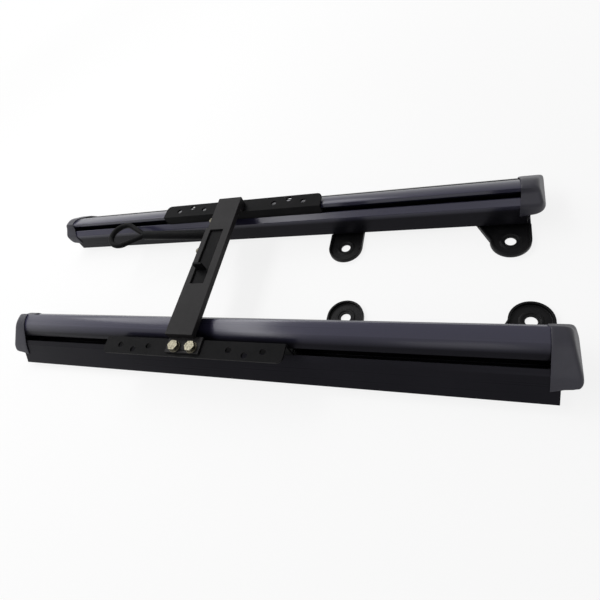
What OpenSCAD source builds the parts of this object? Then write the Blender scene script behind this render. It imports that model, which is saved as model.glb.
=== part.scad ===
// Seat slide rail set: two floor rails, joined by a carriage with seat brackets,
// a cross beam and a lift-up release lever that draws a latch pin out of the far rail.
// X runs along the rails, Y from the near rail to the far rail, Z is up from the floor.

/* [Rails] */
// Length of each extruded rail profile
rail_len = 776; // [700:1:900]
// Distance from the middle plane to the spine of each rail
spine_y = 113.5; // [108:0.5:125]
// Offset between the two rails along X, as they stand in the photograph
stagger = 18; // [0:1:20]
// Wall thickness of the profile
wall = 2.5; // [2:0.1:3]
// Thickness of the spine and of the crown
spine_thk = 3; // [2.5:0.1:3.5]
// Height of the lower edge of the skirts above the floor
skirt_z = 10; // [9:0.5:12]
// Radius of the rounded crown
crown_r = 35.5; // [35:0.1:36]
// Height of the centre of the crown's curve
crown_z = 24; // [23.5:0.1:24.5]

/* [Floor strips] */
// Thickness of the pressed floor strip and its ears
strip_thk = 3; // [2.5:0.1:3.5]
// Distance from the middle plane to the ear holes
ear_y = 59.5; // [56:0.5:64]
// Distance between the two ear holes of a rail
ear_pitch = 222; // [190:1:260]
// Distance from the end of the rail to its end ear hole
ear_inset = 20; // [18:1:60]
// Radius of the round end of an ear
ear_r = 25; // [22:0.5:27]
// Diameter of the hole in an ear
ear_hole_d = 13.5; // [11:0.5:15]
// Height of the raised rim round an ear
ear_rim_h = 7; // [5:0.5:8]

/* [Seat brackets] */
// Length of a seat bracket
bracket_len = 277; // [265:1:285]
// Place of the middle of both brackets along X
bracket_x = -31; // [-36:1:-26]
// Thickness of the folded bracket sheet
sheet = 3; // [2.5:0.1:3.2]
// Height of the top of the seat flanges above the crown
flange_rise = 5; // [5:0.5:9]
// Width of the seat flanges
flange_w = 25; // [23:0.5:27]
// Diameter of the seat bolt holes
seat_hole_d = 8.4; // [6:0.2:9]
// Distance between neighbouring seat bolt holes along X
seat_hole_pitch = 24; // [22:0.5:26]
// Distance between the two groups of seat bolt holes
seat_group_pitch = 173; // [160:1:180]

/* [Cross beam] */
// Width of the beam
beam_w = 43; // [41:0.5:46]
// Place of the left side of the beam along X
beam_x = -62; // [-64:0.5:-60]
// Height of the top of the beam above the seat flanges
beam_rise = 14; // [14:0.5:16]
// Spacing of the two foot bolts
foot_bolt_pitch = 26; // [24:0.5:28]

/* [Release lever] */
// Outer diameter of the lever tube
lever_d = 15; // [13:0.5:16]
// Upward slope of the lever tube in degrees
lever_tilt = 4; // [2:0.5:5]
// Length of the lever tube from the latch axis
lever_len = 136; // [120:1:150]
// Diameter of the bar of the loop handle
loop_bar_d = 9; // [8:0.5:10]
// Radius of the loop, at the middle of its bar
loop_r = 22; // [20:0.5:24]
// Distance from the end of the lever tube to the middle of the loop
loop_reach = 45; // [42:1:50]

/* [Latch] */
// Diameter of the guided body of the latch pin
pin_d = 8; // [7:0.1:8.5]
// Diameter of the nose of the latch pin
nose_d = 5; // [4.4:0.1:5.2]
// Distance between the notches of the lock strip
notch_pitch = 21.5; // [21:0.5:22]
// Axial travel of the latch pin for each degree of the lever
pin_per_deg = 0.7; // [0.5:0.01:0.72]

/* [Hidden] */
$fn = 48;
eps = 1;
run = 0.3;
fit = 0.05;

// Rail section, as distances u outward from the spine and heights z above the floor
floor_z = strip_thk;
pocket_z = floor_z + 3;
inner_wall_u = -25.5;
outer_wall_u = 24;
inner_foot_u = -32.1;
inner_knee_u = -29;
shoulder_u = -22;
crown_u = -16.5;
crown_face_u = -17;
crown_top_z = crown_z + crown_r;
crown_lip_z = crown_top_z - 6.3;
shoulder_z = crown_lip_z - 5.9;
inner_knee_z = shoulder_z - 6.3;
outer_lip_z = crown_top_z - 16.5;
ramp_top_z = outer_lip_z - 4.3;
ramp_knee_z = ramp_top_z - 4.7;
rib_z = ramp_top_z - 0.7;
flange_z = crown_top_z + flange_rise;
ramp_top_u = 20.5;
ramp_knee_u = 26.5;
ramp_foot_u = 47.3;
rib_h = 2.5;
rib_w = 3;
half_spine = spine_thk / 2;
half_rail = rail_len / 2;
spine_top_z = crown_z + sqrt(pow(crown_r - spine_thk / 2, 2) - crown_u * crown_u);

// Floor strip, its ears and its countersunk screws
strip_u = 16.5;
ear_end_x = half_rail - ear_inset;
ear_mid_x = ear_end_x - ear_pitch;
ear_flare = 18;
ring_w = 6;
ring_step = 3;
ring_rise = 1.5;
screw_d = 5;
screw_cone = 2;
screw_u = 12;
screw_pitch = rail_len * 0.283;

// End caps
cap_lap = 12;
cap_wall = 1.6;
cap_over = 20;
cap_z = 21;
cap_lift = 5;
cap_round = 13;
cap_slant = 8;
cap_nose_r = 10;
nose_step = 16;
cap_clear = 0.2;
cap_slope = (ramp_foot_u - ramp_knee_u) / (ramp_knee_z - skirt_z);
cap_trim = 6;

// Slider, shoes and the folded legs of the brackets
leg_u = 7.5;
bar_thk = 8;
bar_z0 = pocket_z + 3;
bar_z1 = rib_z - 5;
shoe_len = 45;
shoe_z = rib_z - run;
far_slot_z = (shoulder_z + crown_lip_z) / 2;
near_slot_z = (ramp_top_z + outer_lip_z) / 2;
near_web_u = 18;
far_web_u = -23;
seat_side_inset = 13;
seat_mid_inset = 7;
bracket_x0 = bracket_x - bracket_len / 2;
rivet_d = 6;
rivet_inset = 60;
rivet_head_h = 1.5;
corner_r = 8;

// Beam, foot and window
beam_z = flange_z + beam_rise;
beam_x1 = beam_x + beam_w;
beam_step = 3;
beam_step_y = 50;
right_wall_h = 9;
near_end_y = -(spine_y + near_web_u);
foot_w = 21;
foot_x0 = beam_x + 1;
foot_x1 = beam_x1 + 10;
far_end_y = spine_y - 5;
window_y0 = -52;
window_y1 = 45;
window_x0 = beam_x + 9;
window_x1 = beam_x1 - 12;
bolt_x = beam_x + 15;
bolt_y = near_end_y - 13;
bolt_d = 8;
bolt_head_af = 13;
bolt_head_h = 5.3;
washer_d = 16;
washer_thk = 1.6;
nut_h = 6.5;

// Latch axis, housing and sleeve
axis_x = beam_x;
axis_z = far_slot_z;
near_ear_y = 24;
far_ear_y = 80;
lever_y = 59;
sleeve_r = 9;
sleeve_y0 = 44;
sleeve_y1 = far_ear_y - run;
cross_pin_d = 3;
collar_d = 12;
collar_y = 38;
collar_thk = 2;
tail_w = 5;
tail_y = 12;
body_end_y = 86;
rest_gap = 0.4;
notch_inset = 20;
notch_play = 1;
lock_u = -half_spine - rib_w;
lock_top_z = crown_z + sqrt(pow(crown_r - spine_thk, 2) - pow(half_spine + crown_u, 2)) - run;
nose_tip_y = spine_y + lock_u - rest_gap;
latch_min_deg = -4.5;
latch_max_deg = 8;
cheek = 3;
ear_neck = 20;
small_bolt_d = 6;
small_head_af = 10;
small_bolt_z = beam_z - 9;
small_head_h = 4;
small_nut_h = 5;
small_bolt_end = 8;
small_bolt_y = [12, 70];
lug_y = -27;
lug_w = 14;

rail_col = [0.16, 0.16, 0.19];
cap_col = [0.19, 0.19, 0.21];
steel_col = [0.06, 0.06, 0.07];
zinc_col = [0.75, 0.68, 0.45];
nylon_col = [0.85, 0.84, 0.8];

// Lays a section drawn in (Y, Z) along X
module along_x(x0, len) {
  translate([x0, 0, 0]) rotate([90, 0, 90]) linear_extrude(len) children();
}

// Puts a rail part on the near side (mirrored) or on the far side, half the stagger along X
module on_rail(far) {
  if (far) translate([-stagger / 2, 0, 0]) children();
  else translate([stagger / 2, 0, 0]) mirror([0, 1, 0]) children();
}

module rail_section() {
  translate([spine_y, 0]) {
    translate([inner_wall_u, floor_z]) square([outer_wall_u + wall - inner_wall_u, pocket_z - floor_z]);
    translate([inner_wall_u, floor_z]) square([wall, inner_knee_z - floor_z]);
    translate([outer_wall_u, floor_z]) square([wall, ramp_knee_z - floor_z - wall / 2]);
    translate([-half_spine, floor_z]) square([spine_thk, spine_top_z - floor_z]);
    translate([-half_spine - rib_w, rib_z]) square([spine_thk + 2 * rib_w, rib_h]);
    translate([inner_wall_u + wall - eps, rib_z]) square([rib_w + eps, rib_h]);
    polygon([
      [inner_foot_u, skirt_z], [inner_foot_u + wall, skirt_z], [inner_knee_u + wall, inner_knee_z - wall],
      [inner_wall_u + wall, inner_knee_z - wall / 2], [shoulder_u + wall, shoulder_z - wall / 2],
      [shoulder_u, shoulder_z], [inner_knee_u, inner_knee_z]
    ]);
    polygon([
      [ramp_top_u, ramp_top_z], [ramp_top_u - wall * 0.7, ramp_top_z - wall],
      [ramp_knee_u - wall * 0.8, ramp_knee_z - wall], [ramp_foot_u - wall * 1.4, skirt_z],
      [ramp_foot_u, skirt_z], [ramp_knee_u, ramp_knee_z]
    ]);
    intersection() {
      difference() {
        translate([crown_u, crown_z]) circle(crown_r);
        translate([crown_u, crown_z]) circle(crown_r - spine_thk);
      }
      translate([crown_face_u, outer_lip_z]) square([2 * crown_r, crown_r]);
    }
    translate([crown_face_u, crown_lip_z])
      square([spine_thk, crown_z + crown_r - spine_thk / 2 - crown_lip_z]);
  }
}

module rail_profile(far) {
  color(rail_col) on_rail(far) difference() {
    along_x(-half_rail, rail_len) rail_section();
    strip_screw_places() translate([0, 0, floor_z - eps]) cylinder(d = screw_d, h = wall + 3);
    strip_screw_places() translate([0, 0, pocket_z - screw_cone])
      cylinder(d1 = screw_d, d2 = screw_d + 2 * screw_cone, h = screw_cone);
  }
}

module strip_screw_places() {
  for (i = [-1.5 : 1 : 1.5]) for (u = [-screw_u, screw_u])
    translate([i * screw_pitch, spine_y + u, 0]) children();
}

module strip_screws(far) {
  color(zinc_col) on_rail(far) strip_screw_places() {
    cylinder(d = screw_d, h = pocket_z - screw_cone);
    translate([0, 0, pocket_z - screw_cone])
      cylinder(d1 = screw_d, d2 = screw_d + 2 * screw_cone, h = screw_cone);
  }
}

// Outline of one ear in plan, with a flare towards the rail on its left side
module ear_plan(r, flare) {
  translate([0, ear_y]) circle(r);
  polygon([
    [-r, ear_y], [r, ear_y], [r, spine_y], [-r - flare, spine_y],
    [-r - flare, spine_y + crown_face_u + crown_face_u / 4]
  ]);
}

module ear(x, flare) {
  ring_r = ear_hole_d / 2 + ring_w;
  translate([x, 0, 0]) difference() {
    union() {
      linear_extrude(strip_thk) ear_plan(ear_r, flare);
      intersection() {
        linear_extrude(ear_rim_h) difference() {
          ear_plan(ear_r, flare);
          ear_plan(ear_r - strip_thk, flare);
        }
        translate([-2 * ear_r, 0, 0]) cube([4 * ear_r, spine_y + inner_wall_u - 4, ear_rim_h]);
      }
      translate([0, ear_y, 0]) cylinder(r = ring_r, h = strip_thk + ring_rise);
    }
    translate([0, ear_y, strip_thk]) cylinder(r = ring_r - ring_step, h = ear_rim_h);
    translate([0, ear_y, -eps]) cylinder(d = ear_hole_d, h = ear_rim_h);
  }
}

module floor_strip(far) {
  color(steel_col) on_rail(far) difference() {
    union() {
      translate([-half_rail, spine_y - strip_u, 0]) cube([rail_len, 2 * strip_u, strip_thk]);
      ear(ear_mid_x, 0);
      ear(ear_end_x, ear_flare);
    }
    strip_screw_places() translate([0, 0, -eps]) cylinder(d = screw_d, h = strip_thk + 2 * eps);
  }
}

// Envelope of the upper part of the rail, grown by g, which the caps follow: flat sides
// bridge the slots, and the outer one leaves the crown's curve at a tangent
module cap_envelope(g) {
  knee = [ramp_knee_u + g - crown_u, ramp_knee_z + g - crown_z];
  turn = atan2(knee.y, knee.x) + acos((crown_r + g) / norm(knee));
  translate([spine_y, 0]) {
    polygon([
      [inner_foot_u + 1.2 - g, cap_z], [ramp_knee_u + (ramp_knee_z - cap_z) * cap_slope + g * 1.4, cap_z],
      [ramp_knee_u + g, ramp_knee_z + g],
      [crown_u + (crown_r + g) * cos(turn), crown_z + (crown_r + g) * sin(turn)],
      [crown_u, crown_z + crown_r - 1],
      [crown_face_u - g, crown_z + crown_r - 1], [crown_face_u - g, crown_lip_z + g / 2],
      [inner_knee_u - g, inner_knee_z + g / 2]
    ]);
    intersection() {
      translate([crown_u, crown_z]) circle(crown_r + g);
      translate([crown_face_u - g, ramp_knee_z]) square([2 * crown_r, crown_r]);
    }
  }
}

module cap_end() {
  x0 = half_rail - cap_lap;
  x1 = half_rail + cap_over;
  w = ramp_foot_u - inner_foot_u;
  mid = spine_y + (ramp_foot_u + inner_foot_u) / 2;
  top = crown_z + crown_r + cap_wall;
  difference() {
    intersection() {
      along_x(x0, x1 - x0) cap_envelope(cap_wall);
      linear_extrude(top + eps) {
        translate([x0, mid - w]) square([x1 - x0 - cap_round, 2 * w]);
        translate([x0, mid - w / 2 + cap_round]) square([x1 - x0, w - 2 * cap_round - cap_trim]);
        translate([x1 - cap_round, mid - w / 2 + cap_round]) circle(cap_round);
        translate([x1 - cap_round, mid + w / 2 - cap_round - cap_trim]) circle(cap_round);
      }
      translate([0, mid + w, 0]) rotate([90, 0, 0]) linear_extrude(2 * w) {
        polygon(concat(
          [[x0, cap_z], [x1, cap_z + cap_lift], [x1, cap_z + 2 * cap_lift]],
          [for (a = [90 - 5 * nose_step : nose_step : 90])
            [x1 - cap_slant - cap_nose_r + cap_nose_r * cos(a), top - cap_nose_r + cap_nose_r * sin(a)]],
          [[x0, top]]
        ));
      }
    }
    along_x(x0 - eps, cap_lap + cap_wall + eps) cap_envelope(cap_clear);
  }
  translate([half_rail + cap_wall, spine_y + inner_wall_u, floor_z + run])
    cube([cap_wall, outer_wall_u + wall - inner_wall_u, cap_z + 2 * cap_lift - floor_z]);
}

module end_cap(far, right) {
  color(cap_col) on_rail(far) mirror([right ? 0 : 1, 0, 0]) cap_end();
}

module lock_strip() {
  rail_x = -stagger / 2;
  first = ceil((rail_x - half_rail + notch_inset - axis_x) / notch_pitch);
  last = floor((rail_x + half_rail - notch_inset - axis_x) / notch_pitch);
  notch_w = nose_d + notch_play;
  color(steel_col) difference() {
    translate([rail_x - half_rail, spine_y + lock_u, rib_z + rib_h])
      cube([rail_len, rib_w, lock_top_z - rib_z - rib_h]);
    for (i = [first : last]) translate([axis_x + i * notch_pitch, spine_y + lock_u - eps, axis_z]) {
      rotate([-90, 0, 0]) cylinder(d = notch_w, h = rib_w + 2 * eps);
      translate([-notch_w / 2, 0, 0]) cube([notch_w, rib_w + 2 * eps, lock_top_z]);
    }
  }
}

// The slider, shoes and brackets are drawn with s = 1 on the outer side of a spine
// (near rail) and s = -1 on its inner side (far rail)
module rivet_places() {
  for (x = [bracket_x0 + rivet_inset, bracket_x, bracket_x0 + bracket_len - rivet_inset])
    translate([x, 0, (bar_z0 + bar_z1) / 2]) children();
}

module carriage_side(far) {
  if (far) translate([0, spine_y, 0]) mirror([0, 1, 0]) children();
  else mirror([0, 1, 0]) translate([0, spine_y, 0]) children();
}

module slider_bar(far) {
  color(steel_col) carriage_side(far) difference() {
    translate([bracket_x0, leg_u + sheet, bar_z0])
      cube([bracket_len, bar_thk, bar_z1 - bar_z0]);
    rivet_places() translate([0, leg_u, 0]) rotate([-90, 0, 0])
      cylinder(d = rivet_d, h = bar_thk + 2 * sheet);
  }
}

module slider_rivets(far) {
  color(zinc_col) carriage_side(far) rivet_places() translate([0, leg_u, 0]) rotate([-90, 0, 0]) {
    cylinder(d = rivet_d, h = sheet + bar_thk);
    translate([0, 0, -rivet_head_h]) cylinder(d = rivet_d + 4, h = rivet_head_h);
    translate([0, 0, sheet + bar_thk]) cylinder(d = rivet_d + 3, h = rivet_head_h);
  }
}

module glide_shoes(far) {
  u0 = half_spine + run;
  u1 = far ? -inner_wall_u - wall - run : outer_wall_u - run;
  corner = far ? 0.5 : 6.5;
  color(nylon_col) carriage_side(far)
    for (x = [bracket_x0 + 2, bracket_x0 + bracket_len - shoe_len - 2]) along_x(x, shoe_len)
      difference() {
        polygon([
          [u0, pocket_z + run], [u1, pocket_z + run], [u1, shoe_z - corner],
          [u1 - corner, shoe_z - corner / 5], [u1 - corner - 1, shoe_z], [u0, shoe_z]
        ]);
        translate([leg_u + sheet - eps, bar_z0]) square([bar_thk + eps, bar_z1 - bar_z0]);
        translate([leg_u, bar_z0]) square([sheet, shoe_z]);
      }
}

// Seat bolt holes: two groups of three in a zigzag along the free edge of a flange
module seat_holes(free_u, dir) {
  for (g = [-1, 1]) for (i = [-1, 0, 1])
    translate([
      bracket_x + g * seat_group_pitch / 2 + i * seat_hole_pitch,
      free_u - dir * (i == 0 ? seat_mid_inset : seat_side_inset), flange_z - sheet - eps
    ]) cylinder(d = seat_hole_d, h = sheet + 2 * eps);
}

module near_seat_bracket() {
  free_u = near_web_u + flange_w;
  tongue_z = near_slot_z - sheet / 2;
  color(steel_col) carriage_side(false) difference() {
    along_x(bracket_x0, bracket_len) {
      translate([near_web_u, flange_z - sheet]) square([flange_w, sheet]);
      translate([near_web_u, tongue_z]) square([sheet, flange_z - tongue_z]);
      translate([leg_u, tongue_z]) square([near_web_u + sheet - leg_u, sheet]);
      translate([leg_u, bar_z0]) square([sheet, tongue_z + sheet - bar_z0]);
    }
    seat_holes(free_u, 1);
    foot_bolt_places() translate([0, 0, flange_z - sheet - eps]) cylinder(d = bolt_d, h = sheet + 2 * eps);
    rivet_places() translate([0, leg_u - eps, 0]) rotate([-90, 0, 0])
        cylinder(d = rivet_d, h = sheet + 2 * eps);
    bracket_corner(bracket_x0, free_u, corner_r, 1);
    bracket_corner(bracket_x0 + bracket_len, free_u, corner_r, -1);
  }
}

// Rounds a free corner of a flange, where dir points into the flange along X
module bracket_corner(x, u, r, dir) {
  translate([x, u, flange_z - sheet - eps]) linear_extrude(sheet + 2 * eps) difference() {
    translate([min(dir, 0) * r - (dir > 0 ? eps : -eps), -r]) square([r, r + eps]);
    translate([dir * r, -r]) circle(r);
  }
}

// Foot bolts, as places along X and outward from the near spine
module foot_bolt_places() {
  for (i = [0, 1]) translate([bolt_x + i * foot_bolt_pitch, -bolt_y - spine_y, 0]) children();
}

module far_seat_bracket() {
  web_u = -far_web_u;
  tongue_z = far_slot_z - sheet / 2;
  gate_w = nose_d + 10;
  color(steel_col) difference() {
    carriage_side(true) difference() {
      along_x(bracket_x0, bracket_len) {
        translate([web_u - flange_w, flange_z - sheet]) square([flange_w, sheet]);
        translate([web_u - sheet, tongue_z]) square([sheet, flange_z - tongue_z]);
        translate([leg_u, tongue_z]) square([web_u - leg_u, sheet]);
        translate([leg_u, bar_z0]) square([sheet, tongue_z + sheet - bar_z0]);
      }
      seat_holes(web_u - flange_w, -1);
      rivet_places() translate([0, leg_u - eps, 0]) rotate([-90, 0, 0])
        cylinder(d = rivet_d, h = sheet + 2 * eps);
      bracket_corner_far(bracket_x0, web_u - flange_w, corner_r, 1);
      bracket_corner_far(bracket_x0 + bracket_len, web_u - flange_w, corner_r, -1);
    }
    translate([axis_x - gate_w / 2, spine_y - web_u - eps, axis_z - gate_w / 2])
      cube([gate_w, web_u, gate_w - 2]);
  }
}

module bracket_corner_far(x, u, r, dir) {
  translate([0, 2 * u, 0]) mirror([0, 1, 0]) bracket_corner(x, u, r, dir);
}

// The beam's outline in plan, with its narrower far part
module beam_plan(inset) {
  polygon([
    [beam_x + inset, near_end_y + inset], [beam_x1 - inset, near_end_y + inset],
    [beam_x1 - inset, far_end_y - inset], [beam_x + beam_step + inset, far_end_y - inset],
    [beam_x + beam_step + inset, beam_step_y - inset], [beam_x + inset, beam_step_y - inset]
  ]);
}

module cross_beam() {
  far_web_y = spine_y + far_web_u;
  low = flange_z;
  color(steel_col) difference() {
    union() {
      difference() {
        translate([0, 0, low]) linear_extrude(beam_rise) beam_plan(0);
        translate([0, 0, low - eps]) linear_extrude(beam_rise - sheet + eps) beam_plan(sheet);
        translate([beam_x1 - sheet - eps, near_end_y + sheet, low - eps])
          cube([sheet + 2 * eps, far_web_y - near_end_y - sheet, beam_rise - right_wall_h + eps]);
      }
      translate([foot_x0, near_end_y - foot_w, low]) cube([foot_x1 - foot_x0, foot_w + sheet, sheet]);
    }
    translate([window_x0, window_y0, beam_z - sheet - eps])
      cube([window_x1 - window_x0, window_y1 - window_y0, sheet + 2 * eps]);
    mirror([0, 1, 0]) translate([0, spine_y, 0]) foot_bolt_places()
      translate([0, 0, low - eps]) cylinder(d = bolt_d, h = sheet + 2 * eps);
    small_bolt_places() cylinder(d = small_bolt_d, h = 4 * sheet, center = true);
  }
}

module on_foot() {
  mirror([0, 1, 0]) translate([0, spine_y, 0]) foot_bolt_places() children();
}

module beam_bolts() {
  top = flange_z + sheet + washer_thk;
  bottom = flange_z - sheet - nut_h - 4;
  color(zinc_col) on_foot() {
    translate([0, 0, bottom]) cylinder(d = bolt_d, h = top - bottom);
    translate([0, 0, top]) cylinder(d = bolt_head_af / cos(30), h = bolt_head_h, $fn = 6);
  }
}

module beam_washers() {
  color(zinc_col) on_foot() translate([0, 0, flange_z + sheet]) difference() {
    cylinder(d = washer_d, h = washer_thk);
    translate([0, 0, -eps]) cylinder(d = bolt_d, h = washer_thk + 2 * eps);
  }
}

module beam_nuts() {
  color(zinc_col) on_foot() translate([0, 0, flange_z - sheet - nut_h]) difference() {
    cylinder(d = bolt_head_af / cos(30), h = nut_h, $fn = 6);
    translate([0, 0, -eps]) cylinder(d = bolt_d, h = nut_h + 2 * eps);
  }
}

// Small bolts through the beam's left wall, pointing along +X from its outer face
module small_bolt_places() {
  for (i = [0, 1]) translate([beam_x + i * beam_step, small_bolt_y[i], small_bolt_z])
    rotate([0, 90, 0]) children();
}

module housing_bolts() {
  grip = sheet + fit + cheek;
  color(zinc_col) small_bolt_places() {
    translate([0, 0, -small_bolt_end]) cylinder(d = small_bolt_d, h = small_bolt_end + grip);
    translate([0, 0, grip]) cylinder(d = small_head_af / cos(30), h = small_head_h, $fn = 6);
  }
}

module housing_nuts() {
  color(zinc_col) small_bolt_places() translate([0, 0, -small_nut_h]) difference() {
    cylinder(d = small_head_af / cos(30), h = small_nut_h, $fn = 6);
    translate([0, 0, -eps]) cylinder(d = small_bolt_d, h = small_nut_h + 2 * eps);
  }
}

// One ear of the latch housing, in (X, Z), hanging from the plate at x_top to the latch axis
module housing_ear(x_top) {
  r = sleeve_r + 3;
  translate([axis_x, axis_z]) circle(r);
  polygon([
    [axis_x - r, axis_z], [axis_x - r, flange_z - eps], [x_top, flange_z - eps],
    [x_top, beam_z - sheet - fit], [x_top + ear_neck, beam_z - sheet - fit],
    [x_top + ear_neck, flange_z - eps], [axis_x + r, axis_z]
  ]);
}

module latch_housing() {
  top = beam_z - sheet - fit;
  x_left = beam_x + sheet + fit;
  x_far = x_left + beam_step;
  x_right = beam_x1 - sheet - fit;
  far_y1 = far_ear_y + cheek;
  step_y = beam_step_y - sheet - fit;
  color(steel_col) difference() {
    union() {
      translate([0, 0, top - cheek]) linear_extrude(cheek) polygon([
        [x_left, window_y0 - 4], [x_right, window_y0 - 4], [x_right, far_y1], [x_far, far_y1],
        [x_far, step_y], [x_left, step_y]
      ]);
      translate([x_left, 0, flange_z]) cube([cheek, step_y, top - flange_z]);
      translate([x_far, beam_step_y + 4, flange_z]) cube([cheek, far_y1 - beam_step_y - 4, top - flange_z]);
      translate([0, near_ear_y + cheek, 0]) rotate([90, 0, 0]) linear_extrude(cheek) housing_ear(x_left);
      translate([0, far_y1, 0]) rotate([90, 0, 0]) linear_extrude(cheek) housing_ear(x_far);
      translate([window_x0 + eps, lug_y, top - cheek]) cube([lug_w, cheek, cheek + lug_w]);
    }
    translate([axis_x - tail_w / 2 - fit, near_ear_y - eps, axis_z - tail_w / 2 - fit])
      cube([tail_w + 2 * fit, cheek + 2 * eps, tail_w + 2 * fit]);
    translate([axis_x, far_ear_y - eps, axis_z]) rotate([-90, 0, 0])
      cylinder(d = pin_d + 2 * fit, h = cheek + 2 * eps);
    small_bolt_places() cylinder(d = small_bolt_d, h = 6 * sheet, center = true);
    small_bolt_places() translate([0, 0, sheet + fit + cheek])
      cylinder(d = small_head_af / cos(30) + eps, h = small_head_h + eps);
  }
}

// Turning sleeve with a helical slot that drives the cross pin of the latch
module release_sleeve() {
  slot_step = 1.25;
  color(steel_col) difference() {
    translate([axis_x, sleeve_y0, axis_z]) rotate([-90, 0, 0])
      cylinder(r = sleeve_r, h = sleeve_y1 - sleeve_y0);
    translate([axis_x, sleeve_y0 - eps, axis_z]) rotate([-90, 0, 0])
      cylinder(d = pin_d + 2 * fit, h = sleeve_y1 - sleeve_y0 + 2 * eps);
    for (a = [latch_min_deg : slot_step : latch_max_deg])
      translate([axis_x, lever_y - pin_per_deg * a, axis_z]) rotate([0, -a, 0])
        cylinder(d = cross_pin_d + 2 * run, h = 3 * sleeve_r, center = true);
  }
}

// Places a part of the lever that is drawn from the latch axis along -X
module on_lever() {
  translate([axis_x, lever_y, axis_z]) rotate([0, lever_tilt, 0]) children();
}

module lever_tube() {
  tube_wall = 1.5;
  color(steel_col) difference() {
    on_lever() rotate([0, -90, 0]) difference() {
      cylinder(d = lever_d, h = lever_len);
      translate([0, 0, -eps]) cylinder(d = lever_d - 2 * tube_wall, h = lever_len - 4);
    }
    translate([axis_x, 0, axis_z]) rotate([-90, 0, 0]) cylinder(r = sleeve_r, h = 2 * lever_y);
  }
}

module loop_handle() {
  half_angle = asin(loop_r / loop_reach);
  leg = sqrt(loop_reach * loop_reach - loop_r * loop_r);
  leg_slim = 0.4;
  leg_sink = 2;
  color(steel_col) on_lever() difference() {
    translate([-lever_len, 0, 0]) {
      for (s = [-1, 1]) rotate([0, 0, s * half_angle]) rotate([0, -90, 0])
        cylinder(d = loop_bar_d - leg_slim, h = leg + leg_sink);
      translate([-loop_reach, 0, 0]) rotate([0, 0, 90 - half_angle])
        rotate_extrude(angle = 180 + 2 * half_angle) translate([loop_r, 0]) circle(d = loop_bar_d);
    }
    translate([-lever_len, -lever_d, -lever_d]) cube(2 * lever_d);
  }
}

module latch_pin() {
  color(zinc_col) translate([axis_x, 0, axis_z]) {
    translate([-tail_w / 2, tail_y, -tail_w / 2]) cube([tail_w, collar_y - tail_y, tail_w]);
    rotate([-90, 0, 0]) {
      translate([0, 0, collar_y]) cylinder(d = collar_d, h = collar_thk);
      translate([0, 0, collar_y]) cylinder(d = pin_d, h = body_end_y - collar_y);
      translate([0, 0, body_end_y]) cylinder(d = nose_d, h = nose_tip_y - body_end_y);
    }
    translate([0, lever_y, 0]) cylinder(d = cross_pin_d, h = 2 * sleeve_r - 1, center = true);
  }
}

// Compression spring between the near ear and the collar of the latch pin
module latch_spring() {
  wire = 1.2;
  mean_r = 4.9;
  turns = 4;
  per_turn = 12;
  sides = 6;
  y0 = near_ear_y + cheek + wire / 2;
  y1 = collar_y - wire / 2;
  n = turns * per_turn;
  ring = [for (i = [0 : n]) for (k = [0 : sides - 1])
    let (a = i * 360 / per_turn, b = k * 360 / sides, r = mean_r + wire / 2 * cos(b))
      [r * cos(a), y0 + (y1 - y0) * i / n + wire / 2 * sin(b), r * sin(a)]];
  skin = [for (i = [0 : n - 1]) for (k = [0 : sides - 1])
    let (p = i * sides, q = (k + 1) % sides) [p + k, p + sides + k, p + sides + q, p + q]];
  start = [for (k = [0 : sides - 1]) k];
  end = [for (k = [sides - 1 : -1 : 0]) n * sides + k];
  color(zinc_col) translate([axis_x, 0, axis_z]) polyhedron(ring, concat(skin, [start, end]), convexity = 8);
}

rail_profile(false);  // near_rail_profile
rail_profile(true);  // far_rail_profile
floor_strip(false);  // near_floor_strip
floor_strip(true);  // far_floor_strip
strip_screws(false);  // near_strip_screws
strip_screws(true);  // far_strip_screws
end_cap(false, false);  // near_left_cap
end_cap(false, true);  // near_right_cap
end_cap(true, false);  // far_left_cap
end_cap(true, true);  // far_right_cap
lock_strip();  // far_lock_strip
slider_bar(false);  // near_slider_bar
slider_bar(true);  // far_slider_bar
glide_shoes(false);  // near_glide_shoes
glide_shoes(true);  // far_glide_shoes
near_seat_bracket();
far_seat_bracket();
slider_rivets(false);  // near_slider_rivets
slider_rivets(true);  // far_slider_rivets
cross_beam();
beam_bolts();
beam_washers();
beam_nuts();
latch_housing();
housing_bolts();
housing_nuts();
release_sleeve();
lever_tube();
loop_handle();
latch_pin();
latch_spring();
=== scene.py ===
"""Seat slide rail set: two dark floor rails, a sliding carriage with seat flanges and a cross beam,
and a loop-handled release lever. Everything is in metres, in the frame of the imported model."""
import math

import bmesh
import bpy
from mathutils import Matrix, Vector


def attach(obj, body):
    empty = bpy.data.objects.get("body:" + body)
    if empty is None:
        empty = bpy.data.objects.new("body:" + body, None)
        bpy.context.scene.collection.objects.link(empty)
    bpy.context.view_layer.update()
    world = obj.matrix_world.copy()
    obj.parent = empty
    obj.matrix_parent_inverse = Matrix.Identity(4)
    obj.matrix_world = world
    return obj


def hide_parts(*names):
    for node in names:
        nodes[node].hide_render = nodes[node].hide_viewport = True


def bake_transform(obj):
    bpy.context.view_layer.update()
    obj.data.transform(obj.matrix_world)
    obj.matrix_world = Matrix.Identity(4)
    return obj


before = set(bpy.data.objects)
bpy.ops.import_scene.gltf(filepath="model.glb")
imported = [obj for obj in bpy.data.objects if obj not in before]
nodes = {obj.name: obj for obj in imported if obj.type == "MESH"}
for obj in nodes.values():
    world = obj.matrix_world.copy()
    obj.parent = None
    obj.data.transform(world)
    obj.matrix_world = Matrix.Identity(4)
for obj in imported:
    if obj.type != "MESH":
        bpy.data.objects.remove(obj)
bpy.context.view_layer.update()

# Floor strips
# Each rail stands on a pressed steel strip with two rounded ears for the floor bolts.
# The strips are painted a satin dark grey, which is a little dusty from handling.
MM = 0.001
WELD_REACH = 0.002 * MM
SHARP_EDGE = math.radians(32.0)
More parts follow.
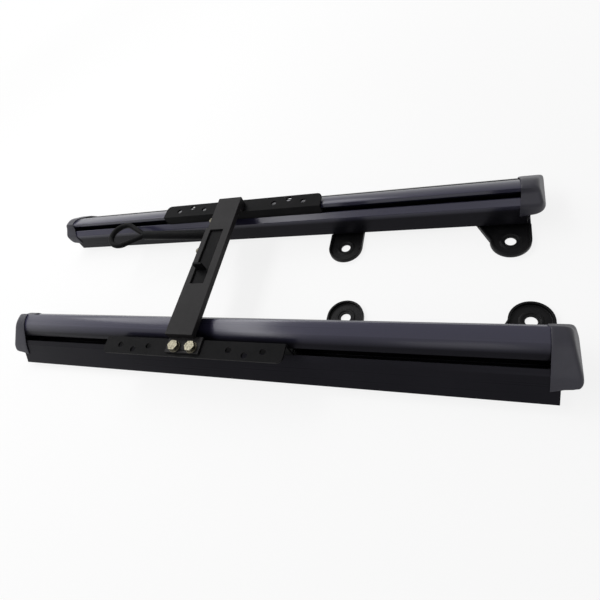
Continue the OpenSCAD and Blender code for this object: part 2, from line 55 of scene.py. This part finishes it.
STRIP_EDGE = 0.8 * MM


def dust_group():
    """Shared effect: a soft cloud of dust and handling marks over a painted or moulded skin."""
    group = bpy.data.node_groups.new("Dust and handling", "ShaderNodeTree")
    group.interface.new_socket("Clean", in_out="INPUT", socket_type="NodeSocketColor")
    group.interface.new_socket("Dusty", in_out="INPUT", socket_type="NodeSocketColor")
    group.interface.new_socket("Cloud size", in_out="INPUT", socket_type="NodeSocketFloat")
    group.interface.new_socket("Amount", in_out="INPUT", socket_type="NodeSocketFloat")
    group.interface.new_socket("Color", in_out="OUTPUT", socket_type="NodeSocketColor")
    add, link = group.nodes.new, group.links.new
    inputs, outputs = add("NodeGroupInput"), add("NodeGroupOutput")
    place = add("ShaderNodeTexCoord")
    cloud = add("ShaderNodeTexNoise")
    cloud.inputs["Detail"].default_value = 6.0
    cloud.inputs["Roughness"].default_value = 0.65
    spread = add("ShaderNodeMapRange")
    spread.inputs["From Min"].default_value = 0.42
    spread.inputs["From Max"].default_value = 0.72
    strength = add("ShaderNodeMath")
    strength.operation = "MULTIPLY"
    blend = add("ShaderNodeMix")
    blend.data_type = "RGBA"
    link(place.outputs["Object"], cloud.inputs["Vector"])
    link(inputs.outputs["Cloud size"], cloud.inputs["Scale"])
    link(cloud.outputs["Fac"], spread.inputs["Value"])
    link(spread.outputs["Result"], strength.inputs[0])
    link(inputs.outputs["Amount"], strength.inputs[1])
    link(strength.outputs["Value"], blend.inputs["Factor"])
    link(inputs.outputs["Clean"], blend.inputs["A"])
    link(inputs.outputs["Dusty"], blend.inputs["B"])
    link(blend.outputs["Result"], outputs.inputs["Color"])
    return group


def grain_group():
    """Shared effect: fine grain, stretched along one direction where the piece was drawn or rolled."""
    group = bpy.data.node_groups.new("Surface grain", "ShaderNodeTree")
    group.interface.new_socket("Stretch", in_out="INPUT", socket_type="NodeSocketVector")
    group.interface.new_socket("Low", in_out="INPUT", socket_type="NodeSocketFloat")
    group.interface.new_socket("High", in_out="INPUT", socket_type="NodeSocketFloat")
    group.interface.new_socket("Roughness", in_out="OUTPUT", socket_type="NodeSocketFloat")
    group.interface.new_socket("Height", in_out="OUTPUT", socket_type="NodeSocketFloat")
    add, link = group.nodes.new, group.links.new
    inputs, outputs = add("NodeGroupInput"), add("NodeGroupOutput")
    place = add("ShaderNodeTexCoord")
    stretch = add("ShaderNodeVectorMath")
    stretch.operation = "MULTIPLY"
    grain = add("ShaderNodeTexNoise")
    grain.inputs["Scale"].default_value = 1.0
    grain.inputs["Detail"].default_value = 3.0
    level = add("ShaderNodeMapRange")
    level.inputs["From Min"].default_value = 0.3
    level.inputs["From Max"].default_value = 0.7
    link(place.outputs["Object"], stretch.inputs[0])
    link(inputs.outputs["Stretch"], stretch.inputs[1])
    link(stretch.outputs["Vector"], grain.inputs["Vector"])
    link(grain.outputs["Fac"], level.inputs["Value"])
    link(inputs.outputs["Low"], level.inputs["To Min"])
    link(inputs.outputs["High"], level.inputs["To Max"])
    link(level.outputs["Result"], outputs.inputs["Roughness"])
    link(grain.outputs["Fac"], outputs.inputs["Height"])
    return group


DUST = dust_group()
GRAIN = grain_group()
GRAIN_DEPTH = 0.2 * MM


def skin(name, clean, dusty, amount, cloud, stretch, rough, bump, **constants):
    """A material with its colour from the dust group, and its gloss and bump from the grain group."""
    material = bpy.data.materials.new(name)
    material.use_nodes = True
    tree = material.node_tree
    shader = tree.nodes["Principled BSDF"]
    dust = tree.nodes.new("ShaderNodeGroup")
    dust.node_tree = DUST
    dust.inputs["Clean"].default_value = (*clean, 1.0)
    dust.inputs["Dusty"].default_value = (*dusty, 1.0)
    dust.inputs["Amount"].default_value = amount
    dust.inputs["Cloud size"].default_value = cloud
    grain = tree.nodes.new("ShaderNodeGroup")
    grain.node_tree = GRAIN
    grain.inputs["Stretch"].default_value = stretch
    grain.inputs["Low"].default_value, grain.inputs["High"].default_value = rough
    relief = tree.nodes.new("ShaderNodeBump")
    relief.inputs["Strength"].default_value = bump
    relief.inputs["Distance"].default_value = GRAIN_DEPTH
    tree.links.new(dust.outputs["Color"], shader.inputs["Base Color"])
    tree.links.new(grain.outputs["Roughness"], shader.inputs["Roughness"])
    tree.links.new(grain.outputs["Height"], relief.inputs["Height"])
    tree.links.new(relief.outputs["Normal"], shader.inputs["Normal"])
    for socket, value in constants.items():
        shader.inputs[socket.replace("_", " ")].default_value = value
    return material


def finish_node(name, material, edge=0.0):
    """Gives a CAD node its material and, where its real edges are softened, a rounded edge."""
    piece = nodes[name]
    piece.data.materials.clear()
    piece.data.materials.append(material)
    if edge > 0.0:
        piece.modifiers.new("join faces", "WELD").merge_threshold = WELD_REACH
        rounded = piece.modifiers.new("rounded edges", "BEVEL")
        rounded.width = edge
        rounded.segments = 2
        rounded.limit_method = "ANGLE"
        rounded.angle_limit = SHARP_EDGE
        rounded.harden_normals = False


strip_paint = skin("dark grey strip paint", clean=(0.0040, 0.0040, 0.0044), dusty=(0.012, 0.0115, 0.0125),
                   amount=0.55, cloud=38.0, stretch=(900.0, 900.0, 900.0), rough=(0.30, 0.46), bump=0.25,
                   Specular_IOR_Level=0.10)
for side in ("near", "far"):
    finish_node(f"{side}_floor_strip", strip_paint, STRIP_EDGE)

# Rail profiles
# Each rail is one extruded profile with a rounded crown, slots and sloping skirts, cut square at its ends.
# The dark coating has a violet tint and fine draw lines along the rail, and the crown shines; the crown is
# painted greyer and lighter, partly its own tone and partly a painted highlight, and the inner ramp under the
# slot gets the same painted highlight.
PROFILE_EDGE = 0.45 * MM
SPINE_Y = 113.5 * MM
CROWN_FROM, CROWN_FULL = 48.0 * MM, 57.0 * MM
INNER_DROP = 15.0 * MM
CROWN_SHARE = 0.75
# Painted highlight colour for the crown and the inner ramp under the slot, partly the crown's own greyer
# tone.
CROWN_HIGHLIGHT_COLOUR = (0.034, 0.032, 0.066, 1.0)
rail_coat = skin("dark rail coating", clean=(0.0050, 0.0048, 0.0062), dusty=(0.011, 0.0105, 0.0135),
                 amount=0.5, cloud=9.0, stretch=(3.0, 420.0, 420.0), rough=(0.26, 0.40), bump=0.12,
                 Specular_IOR_Level=0.10, Specular_Tint=(0.84, 0.82, 1.0, 1.0), Coat_Roughness=0.2)


def gloss_crown_and_paint_highlight(material):
    """Makes the crown, and on the inner side the ramp under the slot, glossier than the skirts, and paints
    them greyer and lighter as a painted highlight (on the crown partly its own tone).
    """
    tree = material.node_tree
    shader = tree.nodes["Principled BSDF"]
    base = shader.inputs["Base Color"].links[0].from_socket
    place = tree.nodes.new("ShaderNodeTexCoord")
    split = tree.nodes.new("ShaderNodeSeparateXYZ")
    from_middle = tree.nodes.new("ShaderNodeMath")
    from_middle.operation = "ABSOLUTE"
    inner = tree.nodes.new("ShaderNodeMath")
    inner.operation = "LESS_THAN"
    inner.inputs[1].default_value = SPINE_Y
    height = tree.nodes.new("ShaderNodeMath")
    height.operation = "MULTIPLY_ADD"
    height.inputs[1].default_value = INNER_DROP
    crown = tree.nodes.new("ShaderNodeMapRange")
    crown.inputs["From Min"].default_value = CROWN_FROM
    crown.inputs["From Max"].default_value = CROWN_FULL
    crown.inputs["To Max"].default_value = CROWN_SHARE
    # Painted highlight: the crown and the inner ramp are blended towards a lighter grey-violet.
    blend = tree.nodes.new("ShaderNodeMix")
    blend.data_type = "RGBA"
    blend.inputs["B"].default_value = CROWN_HIGHLIGHT_COLOUR
    tree.links.new(place.outputs["Object"], split.inputs["Vector"])
    tree.links.new(split.outputs["Y"], from_middle.inputs[0])
    tree.links.new(from_middle.outputs["Value"], inner.inputs[0])
    tree.links.new(inner.outputs["Value"], height.inputs[0])
    tree.links.new(split.outputs["Z"], height.inputs[2])
    tree.links.new(height.outputs["Value"], crown.inputs["Value"])
    tree.links.new(crown.outputs["Result"], blend.inputs["Factor"])
    tree.links.new(base, blend.inputs["A"])
    tree.links.new(blend.outputs["Result"], shader.inputs["Base Color"])
    tree.links.new(crown.outputs["Result"], shader.inputs["Coat Weight"])


gloss_crown_and_paint_highlight(rail_coat)
for side in ("near", "far"):
    finish_node(f"{side}_rail_profile", rail_coat, PROFILE_EDGE)

# Countersunk screws
# Zinc-plated screws hold each profile down on its strip, sunk flush in the floor of the pockets.
# The yellow passivation has gone dull and patchy.
yellow_zinc = skin("yellow zinc", clean=(0.17, 0.158, 0.118), dusty=(0.03, 0.028, 0.023),
                   amount=1.0, cloud=420.0, stretch=(500.0, 500.0, 500.0), rough=(0.26, 0.42), bump=0.15,
                   Metallic=1.0)
for side in ("near", "far"):
    finish_node(f"{side}_strip_screws", yellow_zinc)

# End caps
# Moulded plastic caps slip over the ends of the rails, with well rounded corners and a fine grain.
# A thin flat blade hangs under each cap and closes the open end of the rail's pockets.
CAP_VOXEL = 0.8 * MM
CAP_SMOOTHING = 120
BLADE_UNDER, BLADE_TOP = 19.0 * MM, 27.0 * MM
cap_plastic = skin("grained cap plastic", clean=(0.019, 0.0182, 0.027), dusty=(0.037, 0.036, 0.050),
                   amount=0.5, cloud=26.0, stretch=(1500.0, 1500.0, 1500.0), rough=(0.38, 0.50), bump=0.30,
                   Specular_IOR_Level=0.36)


def copy_node(node_name, piece_name, material):
    """A new piece with a copy of a CAD node's mesh, which it replaces."""
    piece = bpy.data.objects.new(piece_name, nodes[node_name].data.copy())
    bpy.context.scene.collection.objects.link(piece)
    piece.data.materials.clear()
    piece.data.materials.append(material)
    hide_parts(node_name)
    return piece


def mould(cap):
    """Rounds a cap all over: an even fine mesh is smoothed, and the result becomes the cap's own mesh."""
    cap.modifiers.new("join faces", "WELD").merge_threshold = WELD_REACH
    fine_mesh = cap.modifiers.new("even mesh", "REMESH")
    fine_mesh.mode = "VOXEL"
    fine_mesh.voxel_size = CAP_VOXEL
    fine_mesh.use_smooth_shade = True
    radii = cap.modifiers.new("moulded radii", "SMOOTH")
    radii.factor = 0.5
    radii.iterations = CAP_SMOOTHING
    shaped = cap.evaluated_get(bpy.context.evaluated_depsgraph_get())
    cap.data = bpy.data.meshes.new_from_object(shaped)
    cap.modifiers.clear()


def add_blade(cap, cad_mesh):
    """Adds the blade, which stays sharp, to a moulded cap, in the place of the CAD cap's lowest part."""
    low_part = [vertex.co for vertex in cad_mesh.vertices if vertex.co.z < BLADE_UNDER]
    low = Vector([min(point[axis] for point in low_part) for axis in range(3)])
    high = Vector([max(point[axis] for point in low_part) for axis in range(2)] + [BLADE_TOP])
    place = Matrix.Translation((low + high) / 2.0) @ Matrix.Diagonal((*(high - low), 1.0))
    form = bmesh.new()
    form.from_mesh(cap.data)
    bmesh.ops.create_cube(form, size=1.0, matrix=place)
    form.to_mesh(cap.data)
    form.free()


for side in ("near", "far"):
    for end in ("left", "right"):
        cap_node = f"{side}_{end}_cap"
        end_cap = copy_node(cap_node, f"moulded_{cap_node}", cap_plastic)
        mould(end_cap)
        add_blade(end_cap, nodes[cap_node].data)
        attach(end_cap, f"{side}_rail")

# Lock strip and sliders
# A notched steel strip stands inside the far rail; steel slider bars run in the pockets of both rails.
# They are plain steel, darkened by oil.
oiled_steel = skin("oiled steel", clean=(0.17, 0.17, 0.175), dusty=(0.08, 0.075, 0.07),
                   amount=0.7, cloud=60.0, stretch=(20.0, 700.0, 700.0), rough=(0.28, 0.45), bump=0.10,
                   Metallic=1.0)
for name in ("far_lock_strip", "near_slider_bar", "far_slider_bar"):
    finish_node(name, oiled_steel)

# Glide shoes
# Nylon shoes at both ends of each slider fill the pocket, so that the carriage glides without play.
# The shoes are moulded in black, and zinc-plated rivets hold the slider to the leg of its bracket.
black_nylon = skin("black nylon", clean=(0.012, 0.012, 0.013), dusty=(0.024, 0.023, 0.024),
                   amount=0.5, cloud=40.0, stretch=(300.0, 300.0, 300.0), rough=(0.42, 0.55), bump=0.05,
                   Specular_IOR_Level=0.3)
for side in ("near", "far"):
    finish_node(f"{side}_glide_shoes", black_nylon)
    finish_node(f"{side}_slider_rivets", yellow_zinc)

# Seat brackets
# Folded sheet brackets leave the slots of the rails and end in drilled seat flanges.
# They are painted black, with a slightly uneven satin skin.
BRACKET_EDGE = 0.7 * MM
black_paint = skin("satin black paint", clean=(0.0036, 0.0036, 0.0040), dusty=(0.0090, 0.0086, 0.0094),
                   amount=0.55, cloud=30.0, stretch=(700.0, 700.0, 700.0), rough=(0.42, 0.58), bump=0.18,
                   Specular_IOR_Level=0.04)
for side in ("near", "far"):
    finish_node(f"{side}_seat_bracket", black_paint, BRACKET_EDGE)

# Cross beam
# A pressed channel with a foot joins the two brackets; its top has a long window over the latch.
# Its paint is a shade lighter and browner than that of the brackets.
BEAM_EDGE = 0.9 * MM
beam_paint = skin("dark beam paint", clean=(0.0105, 0.0098, 0.0104), dusty=(0.021, 0.0198, 0.0206),
                  amount=0.6, cloud=22.0, stretch=(700.0, 700.0, 700.0), rough=(0.42, 0.58), bump=0.18,
                  Specular_IOR_Level=0.1)
finish_node("cross_beam", beam_paint, BEAM_EDGE)

# Foot bolts
# Two hex bolts with washers and nuts clamp the foot of the beam to the near seat flange.
# Bolts and nuts are yellow zinc like the screws; the washers get a darker copy of the zinc, painted shade
# where they sit under the bolt heads.
BOLT_EDGE, WASHER_EDGE = 0.3 * MM, 0.25 * MM
# Painted shade: a darker copy of the yellow zinc for the washers, which lie in the shade of the bolt heads.
shaded_zinc = skin("shaded zinc", clean=(0.10, 0.092, 0.07), dusty=(0.05, 0.046, 0.038),
                 amount=0.6, cloud=160.0, stretch=(500.0, 500.0, 500.0), rough=(0.34, 0.50), bump=0.10,
                 Metallic=1.0)
for name in ("beam_bolts", "beam_nuts"):
    finish_node(name, yellow_zinc, BOLT_EDGE)
finish_node("beam_washers", shaded_zinc, WASHER_EDGE)

# Latch housing
# A bracket of folded sheet under the beam carries the latch axis between two ears.
# It has the black paint of the seat brackets, and two small hex bolts with nuts hold it to the beam.
HOUSING_EDGE, SMALL_BOLT_EDGE = 0.6 * MM, 0.4 * MM
finish_node("latch_housing", black_paint, HOUSING_EDGE)
for name in ("housing_bolts", "housing_nuts"):
    finish_node(name, yellow_zinc, SMALL_BOLT_EDGE)

# Release lever
# A slotted sleeve turns on the latch pin; a tube welded to it ends in a bent loop for the fingers.
# All three are steel with the same black paint.
LEVER_EDGE = 0.5 * MM
for name in ("release_sleeve", "lever_tube"):
    finish_node(name, black_paint, LEVER_EDGE)
finish_node("loop_handle", black_paint)

# Latch pin and spring
# A turned pin slides in the housing; a coil spring pushes its nose into the notches of the lock strip.
# The coil's near end rests on the housing and its far end on the pin's collar.
finish_node("latch_pin", oiled_steel)
coil = copy_node("latch_spring", "latch_coil", oiled_steel)
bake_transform(coil)

# Studio
# A plain pale floor that turns to white away from the object, and an even pale surround.
# Softboxes behind and above give the long highlights on the crowns; a weak one fills in from the front.
FLOOR_SIZE = 16.0
FLOOR_DROP = 0.4 * MM
FLOOR_COLOUR = (0.93, 0.93, 0.93, 1.0)
FLOOR_ROUGHNESS = 0.9
FLOOR_WHITE = 0.85
SHADOW_REACH, SHADOW_END = 0.5, 1.8
WHITE = (1.0, 1.0, 1.0, 1.0)
SURROUND_LIGHT = 0.16


def seen_white(tree, lit, plain, output):
    """Shows plain white to camera, glossy and transmission rays, and the lit shader to all others.
    It returns the socket for the share of white."""
    path = tree.nodes.new("ShaderNodeLightPath")
    mirrored = tree.nodes.new("ShaderNodeMath")
    mirrored.operation = "MAXIMUM"
    straight = tree.nodes.new("ShaderNodeMath")
    straight.operation = "MAXIMUM"
    share = tree.nodes.new("ShaderNodeMath")
    share.operation = "MULTIPLY"
    share.inputs[1].default_value = 1.0
    mix = tree.nodes.new("ShaderNodeMixShader")
    plain.inputs["Color"].default_value = WHITE
    plain.inputs["Strength"].default_value = 1.0
    tree.links.new(path.outputs["Is Glossy Ray"], mirrored.inputs[0])
    tree.links.new(path.outputs["Is Transmission Ray"], mirrored.inputs[1])
    tree.links.new(path.outputs["Is Camera Ray"], straight.inputs[0])
    tree.links.new(mirrored.outputs["Value"], straight.inputs[1])
    tree.links.new(straight.outputs["Value"], share.inputs[0])
    tree.links.new(share.outputs["Value"], mix.inputs["Fac"])
    tree.links.new(lit.outputs[0], mix.inputs[1])
    tree.links.new(plain.outputs[0], mix.inputs[2])
    tree.links.new(mix.outputs["Shader"], output.inputs["Surface"])
    return share.inputs[1]


def pale_floor():
    """A matt floor that keeps the object's soft shadow near it, and is plain white further away."""
    material = bpy.data.materials.new("pale floor")
    material.use_nodes = True
    tree = material.node_tree
    shader = tree.nodes["Principled BSDF"]
    shader.inputs["Base Color"].default_value = FLOOR_COLOUR
    shader.inputs["Roughness"].default_value = FLOOR_ROUGHNESS
    white = tree.nodes.new("ShaderNodeEmission")
    share = seen_white(tree, shader, white, tree.nodes["Material Output"])
    place = tree.nodes.new("ShaderNodeTexCoord")
    distance = tree.nodes.new("ShaderNodeVectorMath")
    distance.operation = "LENGTH"
    spread = tree.nodes.new("ShaderNodeMapRange")
    spread.inputs["From Min"].default_value = SHADOW_REACH
    spread.inputs["From Max"].default_value = SHADOW_END
    spread.inputs["To Min"].default_value = FLOOR_WHITE
    tree.links.new(place.outputs["Object"], distance.inputs[0])
    tree.links.new(distance.outputs["Value"], spread.inputs["Value"])
    tree.links.new(spread.outputs["Result"], share)
    return material


def softbox(name, place, target, width, height, power):
    """A rectangular lamp at a place, turned to face a target."""
    lamp = bpy.data.lights.new(name, "AREA")
    lamp.shape = "RECTANGLE"
    lamp.size, lamp.size_y = width, height
    lamp.energy = power
    holder = bpy.data.objects.new(name, lamp)
    holder.location = place
    holder.rotation_euler = (Vector(target) - Vector(place)).to_track_quat("-Z", "Y").to_euler()
    bpy.context.scene.collection.objects.link(holder)


bpy.ops.mesh.primitive_plane_add(size=FLOOR_SIZE, location=(0.0, 0.0, -FLOOR_DROP))
studio_floor = bpy.context.object
studio_floor.name = "studio floor"
studio_floor.data.materials.append(pale_floor())

softbox("back softbox", place=(-0.85, 0.80, 1.15), target=(-0.1, 0.0, 0.0), width=2.4, height=0.8, power=15.0)
softbox("overhead strip", place=(-0.62, -0.06, 1.25), target=(-0.30, -0.06, 0.0), width=2.2, height=0.34,
        power=11.0)
softbox("front softbox", place=(0.9, -1.9, 1.6), target=(0.0, 0.0, 0.0), width=1.0, height=0.8, power=4.0)

world = bpy.data.worlds.new("pale surround")
bpy.context.scene.world = world
world.use_nodes = True
surround = world.node_tree.nodes["Background"]
surround.inputs["Color"].default_value = WHITE
surround.inputs["Strength"].default_value = SURROUND_LIGHT
seen_white(world.node_tree, surround, world.node_tree.nodes.new("ShaderNodeBackground"),
           world.node_tree.nodes["World Output"])
bpy.context.scene.view_settings.view_transform = "Standard"

# Camera
# It stands close above the near side, towards the right end, and is turned a little about its own axis.
# It was fitted to the edges of both rails in the photograph, which is 600 pixels wide.
CAMERA_PLACE = Vector((319.0, -336.8, 498.7)) * MM
CAMERA_RIGHT = Vector((0.9267, 0.2003, -0.3181))
CAMERA_FORWARD = Vector((-0.3758, 0.4853, -0.7894))
FOCAL_PX, PHOTO_PX = 437.0, 600.0
SENSOR_WIDTH = 36.0
camera_data = bpy.data.cameras.new("photo camera")
camera_data.sensor_width = SENSOR_WIDTH
camera_data.lens = SENSOR_WIDTH * FOCAL_PX / PHOTO_PX
camera_data.clip_start = 0.01
camera = bpy.data.objects.new("photo camera", camera_data)
back = -CAMERA_FORWARD.normalized()
right = (CAMERA_RIGHT - CAMERA_RIGHT.dot(back) * back).normalized()
up = back.cross(right)
camera.matrix_world = Matrix.Translation(CAMERA_PLACE) @ Matrix((right, up, back)).transposed().to_4x4()
bpy.context.scene.collection.objects.link(camera)
bpy.context.scene.camera = camera
